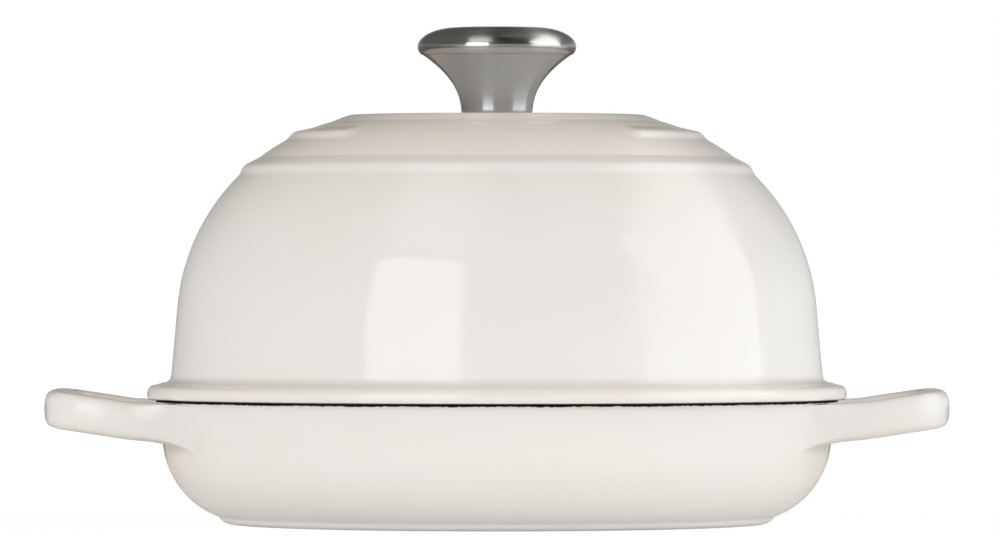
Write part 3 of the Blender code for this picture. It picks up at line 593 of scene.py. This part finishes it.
class LidShape:
    """Section of the lid, worked out from its sizes and the pan's."""

    def __init__(self, lid, pan_shape):
        pan = pan_shape.pan
        self.lid = lid
        self.seat = pan.rim_height + lid.seat_gap
        self.top = self.seat + lid.height
        self.flange_top = self.seat + lid.flange_thickness
        self.flange_radius = pan.rim_radius + lid.flange_overhang
        self.wall_foot = pan.rim_radius - lid.wall_inset
        self.dome_height = self.top + lid.dome_swell - lid.dome_radius
        spread = (self.dome_height - self.flange_top) * math.tan(lid.draft)
        self.dome_centre = self.wall_foot - spread - lid.dome_radius / math.cos(lid.draft)
        self.middle_edge = lid.plateau_radius + lid.plateau_riser + lid.middle_width
        self.lower_edge = self.middle_edge + lid.lower_width
        self.lip = pan_shape.inner_radius(self.seat - lid.lip_depth) - lid.lip_clearance
        self.border = (self.flange_radius - 0.2 * MM, self.seat + lid.black_edge)

    def dome_point(self, angle, lift=0.0):
        reach = self.lid.dome_radius + lift
        radius = self.dome_centre + reach * math.sin(angle)
        return radius, self.dome_height + reach * math.cos(angle)

    def step_rows(self, edge_radius, tread):
        """(angle, lift) rows of a crown step, from the hollow where it rises to its outer foot."""
        lid = self.lid
        scale = lid.dome_radius
        end = math.asin((edge_radius - self.dome_centre) / scale)
        face = lid.step_riser / scale
        edge = end - face
        start = edge - tread / scale
        hollow, nose, foot = 0.5 * MM, 1.5 * MM, 1.3 * MM
        nose_angle, nose_lift = edge + 0.1 * face, 1.04 * lid.step_height
        run_in, run_out = 0.02, 0.03
        corners = [((start - run_in) * scale, 0.0, 0), (start * scale, 0.0, hollow)]
        corners += [(nose_angle * scale, nose_lift, nose), (end * scale, 0.0, foot)]
        corners += [((end + run_out) * scale, 0.0, 0)]
        return [(u / scale, v) for u, v in rounded(corners, steps=8)]

    def outline(self):
        """From the screw's hole over the crown, wall and flange, and back up the inside."""
        lid = self.lid
        plateau_end_radius = lid.plateau_radius + lid.plateau_riser
        plateau_end = math.asin((plateau_end_radius - self.dome_centre) / lid.dome_radius)
        points = [(lid.screw_hole, self.top)]
        plateau_edge = (lid.plateau_radius + lid.plateau_bend, self.top)
        slope_end = self.dome_point(plateau_end)
        points += bend((lid.plateau_radius, self.top), plateau_edge, slope_end, steps=14)
        middle = self.step_rows(self.middle_edge, lid.middle_tread)
        lower = self.step_rows(self.lower_edge, lid.lower_tread)
        between = [plateau_end + (middle[0][0] - plateau_end) * k / 4 for k in range(1, 4)]
        points += [self.dome_point(angle) for angle in between]
        points += [self.dome_point(*row) for row in middle]
        between = [middle[-1][0] + (lower[0][0] - middle[-1][0]) * k / 4 for k in range(1, 4)]
        points += [self.dome_point(angle) for angle in between]
        points += [self.dome_point(*row) for row in lower]
        wall_angle = math.pi / 2 - lid.draft
        dome = (self.dome_centre, self.dome_height)
        points += arc(dome, lid.dome_radius, lower[-1][0], wall_angle, steps=26)[1:]
        points += self.flange_points()
        lip_bottom = self.seat - lid.lip_depth
        inside = self.wall_foot - lid.thickness
        soft = 0.6 * MM
        corners = [(self.lip + 2 * soft, self.seat, 0), (self.lip, self.seat, 0.5 * soft)]
        corners += [(self.lip, lip_bottom, soft), (inside, lip_bottom, soft)]
        points += rounded([*corners, (inside, self.flange_top, 0)], steps=4)
        points += arc(dome, lid.dome_radius - lid.thickness, wall_angle, 0.0, steps=26)
        points.append((lid.screw_hole, self.dome_height + lid.dome_radius - lid.thickness))
        return points

    def flange_points(self):
        """From the foot of the lid's wall, over the flange to its underside."""
        lid = self.lid
        top = self.flange_top
        high = top + lid.flange_fillet
        wall = self.wall_foot
        wall_end = (wall - lid.flange_fillet * math.tan(lid.draft), high)
        points = bend(wall_end, (wall, top), (wall + lid.flange_fillet, top), steps=10)
        outer = self.flange_radius
        edge = top - lid.flange_fall
        over, under = lid.flange_round, lid.flange_under
        points += bend((outer - over, edge), (outer, edge), (outer, edge - over), steps=12)
        seat = self.seat
        points += bend((outer, seat + under), (outer, seat), (outer - under, seat), steps=10)
        return points

    def sectors(self, count):
        """From one end of the bare field to the other and round the back."""
        lid = self.lid
        field = 2 * lid.field_half
        back = 2 * math.pi - field - 2 * lid.field_end
        share = round(count * field / (2 * math.pi))
        fewest = 8
        end = (lid.field_end, max(fewest, round(count * lid.field_end / math.pi)))
        return [(field, share), end, (back, count - share), end]

    def clear_field(self, bm):
        """Presses the middle step back to the dome over the bare field."""
        lid = self.lid
        rows = self.step_rows(self.middle_edge, lid.middle_tread)
        edge = bm.verts.layers.float["enamel_edge"]
        for vert in bm.verts:
            radius = vert.co.xy.length
            rise = vert.co.z - self.dome_height
            reach = math.hypot(radius - self.dome_centre, rise)
            angle = math.atan2(radius - self.dome_centre, rise)
            if reach < lid.dome_radius - TOUCH or not rows[0][0] < angle < rows[-1][0]:
                continue
            azimuth = math.atan2(vert.co.y, vert.co.x)
            off = abs(math.remainder(azimuth - lid.field_azimuth, 2 * math.pi))
            t = min(max((off - lid.field_half) / lid.field_end, 0.0), 1.0)
            share = t * t * (3 - 2 * t)
            new_radius, height = self.dome_point(angle, (reach - lid.dome_radius) * share)
            vert.co = (vert.co.x * new_radius / radius, vert.co.y * new_radius / radius, height)
            vert[edge] *= share


class KnobShape:
    """Sections of the knob's two shells."""

    def __init__(self, knob, foot, hole):
        self.knob = knob
        self.foot = foot
        self.hole = hole

    def radius(self, height):
        """Outside of the trumpet by height above its foot."""
        knob = self.knob
        flare = knob.rim_radius - knob.foot_radius
        return knob.foot_radius + flare * (height / knob.body_height) ** knob.flare_power

    def inner_radius(self, height):
        knob = self.knob
        flare = (knob.rim_radius - knob.foot_radius) / knob.body_height
        slope = knob.flare_power * flare * (height / knob.body_height) ** (knob.flare_power - 1)
        return self.radius(height) - knob.shell * math.hypot(1.0, slope)

    def trumpet_outline(self):
        """Up the outside from the foot, round the spigot and down the inside."""
        knob = self.knob
        top = knob.body_height
        chamfer = knob.foot_chamfer
        foot_start = (knob.foot_radius - 1.5 * chamfer, 0.0)
        foot_end = (self.radius(2 * chamfer), 2 * chamfer)
        points = [(self.hole, knob.base), (self.hole, 0.0)]
        points += bend(foot_start, (knob.foot_radius, 0.0), foot_end, steps=6)
        rows, inner_rows = 40, 20
        heights = [2 * chamfer + (top - 2 * chamfer) * row / rows for row in range(1, rows)]
        points += [(self.radius(height), height) for height in heights]
        spigot = knob.rim_radius - knob.shell - knob.seam
        spigot_inner = spigot - knob.shell
        rim = [(*points[-1], 0), (knob.rim_radius, top, 0.25 * MM), (spigot, top, 0)]
        points += rounded(rim, steps=4)[1:]
        points += [(spigot, top + knob.spigot), (spigot_inner, top + knob.spigot)]
        drop = (top - knob.base) / inner_rows
        heights = [knob.base + drop * row for row in range(inner_rows, -1, -1)]
        points += [(min(self.inner_radius(height), spigot_inner), height) for height in heights]
        return [(radius, self.foot + height) for radius, height in points]

    def cap_outline(self):
        """Polished top, rolled under to the seam."""
        knob = self.knob
        seam = self.foot + knob.body_height + knob.seam
        widest = seam + knob.cap_curl
        shoulder = knob.rim_radius + knob.cap_overhang - knob.cap_shoulder
        side = shoulder + knob.cap_shoulder
        inner_seam = knob.rim_radius - knob.shell
        rows = 28
        quarter = [0.5 * math.pi * step / rows for step in range(rows + 1)]
        points = [(0.0, widest + knob.cap_rise + knob.cap_crown)]
        points += [
            (shoulder + knob.cap_shoulder * math.sin(a), widest + knob.cap_rise * math.cos(a))
            for a in quarter[:-1]
        ]
        lip = (knob.rim_radius + knob.cap_lip, seam)
        roll = bend((side, widest), (side, widest - knob.cap_side), lip, steps=12)
        seam_edge = [(*roll[-2], 0), (*lip, 0.2 * MM), (inner_seam, seam, 0)]
        points += roll[:-2] + rounded(seam_edge, steps=4)
        inner_rise = knob.cap_rise - knob.shell
        points += [
            (shoulder + (inner_seam - shoulder) * math.sin(a), widest + inner_rise * math.cos(a))
            for a in quarter[:0:-2]
        ]
        points.append((0.0, widest + inner_rise))
        return points


def add(tree, kind, inputs=None, stops=(), **settings):
    """Adds a shader node with its settings and links.

    Each input is a value, another node's output, or a node that stands for its first output.
    A colour ramp also takes grey stops, as pairs of a place from 0 to 1 and a brightness.
    """
    node = tree.nodes.new("ShaderNode" + kind)
    for name, value in settings.items():
        setattr(node, name, value)
    for key, value in (inputs or {}).items():
        if isinstance(value, bpy.types.Node):
            value = value.outputs[0]
        if isinstance(value, bpy.types.NodeSocket):
            tree.links.new(value, node.inputs[key])
        else:
            node.inputs[key].default_value = value
    if stops:
        elements = node.color_ramp.elements
        for place, _ in stops[2:]:
            elements.new(place)
        for element, (place, grey) in zip(elements, stops):
            element.position = place
            element.color = (grey, grey, grey, 1)
    return node


def new_tree(name):
    material = bpy.data.materials.new(name)
    material.use_nodes = True
    material.node_tree.nodes.clear()
    return material, material.node_tree


def blots(tree, place, size, least, most, spread=0.2, detail=2.0):
    """Soft blots about size across, from least to most.

    spread is how far the noise swings from its middle before it reaches them.
    """
    noise = add(tree, "TexNoise", {"Vector": place, "Scale": 1 / size, "Detail": detail})
    limits = {0: noise, 1: 0.5 - spread, 2: 0.5 + spread, 3: least, 4: most}
    return add(tree, "MapRange", limits, **SMOOTH)


def vitreous_enamel(name, colours, ragged):
    """Vitreous enamel, sprayed and fired on cast iron: gloss cream outside, matte black inside.

    The cream is a glass with a faint orange peel from the spraying, a touch warmer where it
    drew back from sharp edges, and darker in hollows, partly where it pooled and partly as
    painted shade. The black ground coat shows on the rims, and the cream stops there in a
    line that is ragged by a share from 0 to 1.
    """
    material, tree = new_tree(name)
    place = add(tree, "TexCoord").outputs["Object"]
    glaze = add(tree, "Attribute", attribute_name="glaze_line").outputs["Fac"]
    edge = add(tree, "Attribute", attribute_name="enamel_edge").outputs["Fac"]

    # Grit of the ragged line, in millimetres of shift: blots 1.6 mm and 9 mm across
    fine = blots(tree, place, 1.6 * MM, -0.13 * ragged, 0.13 * ragged)
    coarse = blots(tree, place, 9 * MM, -0.08 * ragged, 0.08 * ragged, detail=0.0)
    shift = add(tree, "Math", {0: fine, 1: coarse}, operation="ADD")
    line = add(tree, "Math", {0: glaze, 1: shift}, operation="ADD")
    outside = add(tree, "MapRange", {0: line, **CREAM_BY_LINE}, **SMOOTH)

    # Firing leaves clouds about 45 mm across, barely seen
    clouds = blots(tree, place, 45 * MM, 0.0, 0.10, spread=0.15, detail=1.0)
    thin = add(tree, "MapRange", {0: edge, **THIN_BY_EDGE}, **SMOOTH)
    # Hollows get a darker colour: partly pooled enamel, partly painted shade
    pooled_and_shade = add(tree, "MapRange", {0: edge, **POOLED_AND_SHADE_BY_EDGE}, **SMOOTH)
    colour = (*colours.cream, 1)
    for share, coat in ((clouds, colours.thin), (thin, colours.thin), (pooled_and_shade, colours.pooled_and_shade)):
        colour = add(tree, "Mix", {0: share, 6: colour, 7: (*coat, 1)}, **COLOURS).outputs[2]
    black = (*colours.black, 1)
    colour = add(tree, "Mix", {0: outside, 6: black, 7: colour}, **COLOURS).outputs[2]

    # The cream has traces of wiping, 18 mm across, in its gloss
    smudge = blots(tree, place, 18 * MM, 0.07, 0.1)
    roughness = add(tree, "Mix", {0: outside, 2: BLACK_ROUGHNESS, 3: smudge})

    # Orange peel with dimples 3 mm across, over the slow waves of the sand casting
    peel = add(tree, "TexNoise", {"Vector": place, "Scale": 1 / (3 * MM), "Detail": 1.0})
    peel = add(tree, "Bump", {"Height": peel, "Distance": 0.004 * MM})
    waves = add(tree, "TexNoise", {"Vector": place, "Scale": 1 / (22 * MM), "Detail": 0.0})
    waves = add(tree, "Bump", {"Height": waves, "Distance": 0.05 * MM, "Normal": peel})
    inputs = {"Base Color": colour, "Roughness": roughness, "IOR": 1.5, "Normal": waves}
    shader = add(tree, "BsdfPrincipled", inputs)
    add(tree, "OutputMaterial", {"Surface": shader})
    return material


def worked_steel(name, colour, roughness, brushing, haze, spacing, depth):
    """Steel worked on a wheel or a lathe, in rings round the knob's axis.

    The rings are far finer than the picture. They show as a clear mirror image under a haze
    that draws the lights out across the rings, its share being haze, with a little uneven
    dulling and a few coarser rings at spacing.
    """
    material, tree = new_tree(name)
    place = add(tree, "TexCoord").outputs["Object"]
    stretched = add(tree, "Mapping", {"Vector": place, "Scale": ALONG_THE_RINGS})
    rings = add(tree, "TexNoise", {"Vector": stretched, "Scale": 1 / spacing, "Detail": 1.0})
    lines = add(tree, "Bump", {"Height": rings, "Distance": depth})
    tint = blots(tree, place, 11 * MM, 0.0, 0.10)
    bright = (*colour, 1)
    darker = (*(0.85 * c for c in colour), 1)
    shade = add(tree, "Mix", {0: tint, 6: bright, 7: darker}, **COLOURS).outputs[2]
    along = add(tree, "Tangent", direction_type="RADIAL", axis="Z")
    lobes = []
    for level, stretching in ((roughness, brushing), HAZE):
        dull = blots(tree, place, 6 * MM, 0.93 * level, 1.07 * level)
        inputs = {"Base Color": shade, "Metallic": 1.0, "Roughness": dull, "Normal": lines}
        inputs |= {"Anisotropic": stretching, "Anisotropic Rotation": 0.25, "Tangent": along}
        lobes.append(add(tree, "BsdfPrincipled", inputs))
    shader = add(tree, "MixShader", {0: haze, 1: lobes[0], 2: lobes[1]})
    add(tree, "OutputMaterial", {"Surface": shader})
    return material


class OVEN_OT_pan(bpy.types.Operator):
    """Makes the pan with its two loop handles"""

    bl_idname = "bread_oven.pan"
    bl_label = "Pan"

    def execute(self, context):
        scene = context.scene
        shape = PanShape(scene.oven_pan, scene.oven_handles)
        sectors = scene.oven_studio.sectors
        root_rows, root_steps, gap_steps = 12, 14, 24  # up a root, along it, between two roots
        inner, outer = shape.root_azimuths()
        side_steps = (sectors - 2 * gap_steps - 4 * root_steps) // 2
        root = (outer - inner, root_steps)
        half_turn = [(2 * inner, gap_steps), root, (math.pi - 2 * outer, side_steps), root]
        pan = scene.oven_pan
        border = (pan.rim_radius, pan.rim_height - pan.black_edge)
        bm = turn(shape.outline(root_rows), half_turn * 2, -inner, border, inside_first=True)
        shape.open_roots(bm)
        for side in (1, -1):
            shape.add_handle(bm, side, stations=48, root_rings=14)
        material = vitreous_enamel("vitreous_enamel_pan", scene.oven_colours, 1.0)
        make_piece(bm, "pan_casting", "base", "base", material)
        return {"FINISHED"}


class OVEN_OT_lid(bpy.types.Operator):
    """Makes the domed lid with its stepped crown"""

    bl_idname = "bread_oven.lid"
    bl_label = "Lid"

    def execute(self, context):
        scene = context.scene
        lid = scene.oven_lid
        shape = LidShape(lid, PanShape(scene.oven_pan, scene.oven_handles))
        start = lid.field_azimuth - lid.field_half
        bm = turn(shape.outline(), shape.sectors(scene.oven_studio.sectors), start, shape.border)
        shape.clear_field(bm)
        material = vitreous_enamel("vitreous_enamel_lid", scene.oven_colours, 0.2)
        make_piece(bm, "lid_casting", "lid", "lid", material)
        return {"FINISHED"}


class OVEN_OT_knob(bpy.types.Operator):
    """Makes the knob's satin trumpet and its polished cap"""

    bl_idname = "bread_oven.knob"
    bl_label = "Knob"

    def execute(self, context):
        scene = context.scene
        colours = scene.oven_colours
        shape = KnobShape(scene.oven_knob, KNOB_FOOT, scene.oven_lid.screw_hole)
        around = [(2 * math.pi, scene.oven_studio.sectors // 2)]
        satin = worked_steel("satin_stainless", colours.satin, *SATIN)
        trumpet = turn(shape.trumpet_outline(), around)
        make_piece(trumpet, "knob_trumpet", "lid", "knob_body", satin)
        polished = worked_steel("polished_stainless", colours.polished, *POLISHED)
        cap = turn(shape.cap_outline(), around)
        make_piece(cap, "knob_top", "lid", "knob_cap", polished)
        return {"FINISHED"}


class OVEN_OT_fastening(bpy.types.Operator):
    """Finishes the screw, its washer and the threaded insert"""

    bl_idname = "bread_oven.fastening"
    bl_label = "Knob fastening"

    def execute(self, context):
        colours = context.scene.oven_colours
        plated = worked_steel("zinc_plated_steel", colours.plated, *PLATED)
        turned = worked_steel("plain_turned_steel", colours.turned, *TURNED)
        finishes = {"knob_screw": plated, "screw_washer": plated, "knob_insert": turned}
        for node, material in finishes.items():
            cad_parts[node].material_slots[0].material = material
        return {"FINISHED"}


def panel_loop(bm, size, corner, inset, brightness):
    """Vertices round a round-cornered panel, at inset from its edge and with their brightness."""
    level = bm.verts.layers.float["glow"]
    radius = max(corner - inset, 0.01)
    corner_steps = 8
    loop = []
    for quarter, (sx, sy) in enumerate(((1, 1), (-1, 1), (-1, -1), (1, -1))):
        x = sx * (0.5 * size[0] - inset - radius)
        y = sy * (0.5 * size[1] - inset - radius)
        for step in range(corner_steps + 1):
            a = 0.5 * math.pi * (quarter + step / corner_steps)
            vert = bm.verts.new((x + radius * math.cos(a), y + radius * math.sin(a), 0))
            vert[level] = brightness
            loop.append(vert)
    return loop


def light_panel(name, place, aim, size, corner, soft, glow):
    """A soft box: a round-cornered panel that faces aim, dimmer in a band along its edge."""
    material, tree = new_tree(name + "_fabric")
    bright = add(tree, "Attribute", attribute_name="glow").outputs["Fac"]
    strength = add(tree, "MapRange", {0: bright, 3: BOX_EDGE_SHARE * glow, 4: glow}, **SMOOTH)
    fabric = add(tree, "Emission", {"Strength": strength})
    back = add(tree, "Emission", {"Strength": 0.0})
    facing = add(tree, "NewGeometry").outputs["Backfacing"]
    shader = add(tree, "MixShader", {0: facing, 1: fabric, 2: back})
    add(tree, "OutputMaterial", {"Surface": shader})

    bm = bmesh.new()
    bm.verts.layers.float.new("glow")
    outer = panel_loop(bm, size, corner, 0.0, 0.0)
    inner = panel_loop(bm, size, corner, soft, 1.0)
    for k in range(len(outer)):
        bm.faces.new((outer[k - 1], outer[k], inner[k], inner[k - 1]))
    bm.faces.new(inner)
    panel = mesh_object(name, bm, material)
    panel.location = place
    panel.rotation_euler = (Vector(aim) - Vector(place)).to_track_quat("Z", "Y").to_euler()
    panel.visible_camera = False


def studio_floor(studio):
    """Light table: white to the camera apart from the shadow; further off, painted shade greys it.
    """
    material, tree = new_tree("light_table_acrylic")
    rays = add(tree, "LightPath").outputs
    place = add(tree, "TexCoord").outputs["Object"]
    reach = add(tree, "VectorMath", {0: place}, operation="LENGTH").outputs["Value"]
    # Painted shade: the paper greys further off, where the lamps' light falls away
    far = add(tree, "MapRange", {0: reach, **PAPER_SHADE_BY_REACH}, **SMOOTH)
    tone = {0: far, 6: (*studio.near_floor, 1), 7: (*studio.far_floor_shade, 1)}
    tone = add(tree, "Mix", tone, **COLOURS).outputs[2]
    paint = add(tree, "BsdfDiffuse", {"Color": tone})

    # A faint glow from under the acrylic, and pools of lamp light that only mirrored rays meet
    round_about = add(tree, "TexGradient", {0: place}, gradient_type="RADIAL").outputs["Fac"]
    pools = add(tree, "ValToRGB", {0: round_about}, stops=POOL_LEVELS)
    pools = add(tree, "Math", {0: rays["Is Glossy Ray"], 1: pools}, operation="MULTIPLY")
    beyond = add(tree, "MapRange", {0: reach, **POOLS_BY_REACH}, **SMOOTH)
    pools = add(tree, "Math", {0: pools, 1: beyond}, operation="MULTIPLY")
    from_under = add(tree, "MapRange", {0: reach, **UNDERGLOW_BY_REACH}, **SMOOTH)
    strength = add(tree, "Math", {0: pools, 1: from_under}, operation="ADD")
    glow = add(tree, "Emission", {"Strength": strength})
    lit = add(tree, "AddShader", {0: paint, 1: glow})

    # The camera sees a share of the shadow close to the oven, and plain white beyond
    white = add(tree, "Emission", {"Strength": FLOOR_WHITE})
    cover = add(tree, "MapRange", {0: reach, **COVER_BY_REACH}, **SMOOTH)
    cover = add(tree, "Math", {0: rays["Is Camera Ray"], 1: cover}, operation="MULTIPLY")
    shader = add(tree, "MixShader", {0: cover, 1: lit, 2: white})
    add(tree, "OutputMaterial", {"Surface": shader})
    bm = bmesh.new()
    bmesh.ops.create_circle(bm, cap_ends=True, segments=96, radius=FLOOR_RADIUS)
    floor = mesh_object("studio_floor", bm, material)


def studio_room(colour):
    """The dark room round the set, which only mirrored rays meet.

    It is darkest behind the camera and to its right. A lighter band lies along the floor.
    """
    material, tree = new_tree("dark_studio_walls")
    place = add(tree, "TexCoord").outputs["Object"]
    height = add(tree, "SeparateXYZ", {0: place}).outputs["Z"]
    round_about = add(tree, "TexGradient", {0: place}, gradient_type="RADIAL").outputs["Fac"]
    walls = add(tree, "ValToRGB", {0: round_about}, stops=WALL_LEVELS)
    band = add(tree, "ValToRGB", {0: round_about}, stops=BAND_LEVELS)
    low = add(tree, "MapRange", {0: height, **BAND_BY_HEIGHT}, **SMOOTH)
    band = add(tree, "Math", {0: band, 1: low}, operation="MULTIPLY")
    level = add(tree, "Math", {0: walls, 1: band}, operation="ADD")
    way = add(tree, "VectorMath", {0: place}, operation="NORMALIZE")
    for spill, limits in SPILLS:
        for axis, none, full in limits:
            along = add(tree, "VectorMath", {0: way, 1: axis}, operation="DOT_PRODUCT")
            along = along.outputs["Value"]
            share = add(tree, "MapRange", {0: along, 1: none, 2: full}, **SMOOTH)
            spill = add(tree, "Math", {0: share, 1: spill}, operation="MULTIPLY")
        level = add(tree, "Math", {0: level, 1: spill}, operation="ADD")
    glow = add(tree, "Emission", {"Color": (*colour, 1), "Strength": level})
    add(tree, "OutputMaterial", {"Surface": glow})
    bm = bmesh.new()
    bmesh.ops.create_uvsphere(bm, u_segments=48, v_segments=24, radius=ROOM_RADIUS)
    bmesh.ops.reverse_faces(bm, faces=bm.faces)
    room = mesh_object("studio_room", bm, material)
    for ray in ("visible_camera", "visible_diffuse", "visible_shadow", "visible_transmission"):
        setattr(room, ray, False)


def studio_world(studio):
    """White behind the oven, and a fill from the sides that is dim and warm from above."""
    world = bpy.data.worlds.new("studio_world")
    bpy.context.scene.world = world
    world.use_nodes = True
    tree = world.node_tree
    tree.nodes.clear()
    rays = add(tree, "LightPath").outputs
    mirror = {0: rays["Is Glossy Ray"], 1: rays["Is Transmission Ray"]}
    mirror = add(tree, "Math", mirror, operation="MAXIMUM")
    seen = add(tree, "Math", {0: rays["Is Camera Ray"], 1: mirror}, operation="MAXIMUM")
    way = add(tree, "TexCoord").outputs["Generated"]
    parts = add(tree, "SeparateXYZ", {0: way}).outputs
    warmth = add(tree, "MapRange", {0: parts["Z"], **WARMTH_BY_HEIGHT}, **SMOOTH)
    tint = {0: warmth, 6: (*studio.horizon, 1), 7: (*studio.zenith, 1)}
    tint = add(tree, "Mix", tint, **COLOURS).outputs[2]
    across = add(tree, "MapRange", {0: parts["X"], 1: -1.0, 2: 1.0}, **SMOOTH)
    sides = add(tree, "ValToRGB", {0: across}, stops=FILL_LEVELS)
    depth = add(tree, "MapRange", {0: parts["Y"], **FILL_BY_DEPTH}, **SMOOTH)
    depth = add(tree, "Math", {0: depth, 1: studio.fill}, operation="MULTIPLY")
    strength = add(tree, "Math", {0: sides, 1: depth}, operation="MULTIPLY")
    around = add(tree, "Background", {"Color": tint, "Strength": strength})
    behind = add(tree, "Background", {"Color": (1, 1, 1, 1), "Strength": 1.0})
    shader = add(tree, "MixShader", {0: seen, 1: around, 2: behind})
    add(tree, "OutputWorld", {"Surface": shader})


def studio_camera(studio):
    """Level camera far off in front, its frame shifted a little to hold the knob."""
    data = bpy.data.cameras.new("studio_camera")
    camera = bpy.data.objects.new("studio_camera", data)
    bpy.context.scene.collection.objects.link(camera)
    data.lens = studio.camera_lens
    data.sensor_width = SENSOR_WIDTH
    data.shift_y = FRAME_SHIFT
    data.clip_end = CAMERA_RANGE
    camera.location = (CAMERA_ASIDE, -studio.camera_distance, studio.camera_height)
    camera.rotation_euler = (math.pi / 2, 0, 0)
    bpy.context.scene.camera = camera


class OVEN_OT_studio(bpy.types.Operator):
    """Sets the floor, the soft boxes, the room and the camera"""

    bl_idname = "bread_oven.studio"
    bl_label = "Studio"

    def execute(self, context):
        studio = context.scene.oven_studio
        studio_floor(studio)
        studio_room(studio.room)
        studio_world(studio)
        light_panel("left_soft_box", glow=studio.key_glow, **LEFT_BOX)
        light_panel("right_soft_box", glow=studio.side_glow, **RIGHT_BOX)
        studio_camera(studio)
        context.scene.view_settings.view_transform = "Standard"
        return {"FINISHED"}


class OVEN_PT_panel(bpy.types.Panel):
    """Bread oven"""

    bl_idname = "OVEN_PT_panel"
    bl_label = "Bread oven"
    bl_space_type = "VIEW_3D"
    bl_region_type = "UI"
    bl_category = "Bread oven"

    def draw(self, context):
        layout = self.layout
        scene = context.scene
        for step in OPERATORS:
            layout.operator(step.bl_idname)
        for group, _ in GROUPS:
            settings = getattr(scene, group)
            box = layout.box()
            box.label(text=settings.bl_rna.description)
            for name in settings.__annotations__:
                box.prop(settings, name)


GROUPS = (
    ("oven_pan", PanSizes),
    ("oven_handles", HandleSizes),
    ("oven_lid", LidSizes),
    ("oven_knob", KnobSizes),
    ("oven_colours", FinishColours),
    ("oven_studio", StudioSettings),
)
OPERATORS = (OVEN_OT_pan, OVEN_OT_lid, OVEN_OT_knob, OVEN_OT_fastening, OVEN_OT_studio)


def register():
    for _, settings in GROUPS:
        bpy.utils.register_class(settings)
    for name, settings in GROUPS:
        setattr(bpy.types.Scene, name, PointerProperty(type=settings))
    for kind in (*OPERATORS, OVEN_PT_panel):
        bpy.utils.register_class(kind)


def unregister():
    for kind in (OVEN_PT_panel, *reversed(OPERATORS)):
        bpy.utils.unregister_class(kind)
    for name, settings in reversed(GROUPS):
        delattr(bpy.types.Scene, name)
        bpy.utils.unregister_class(settings)


def main():
    register()
    bpy.ops.bread_oven.pan()
    bpy.ops.bread_oven.lid()
    bpy.ops.bread_oven.knob()
    bpy.ops.bread_oven.fastening()
    bpy.ops.bread_oven.studio()


if __name__ == "__main__":
    main()
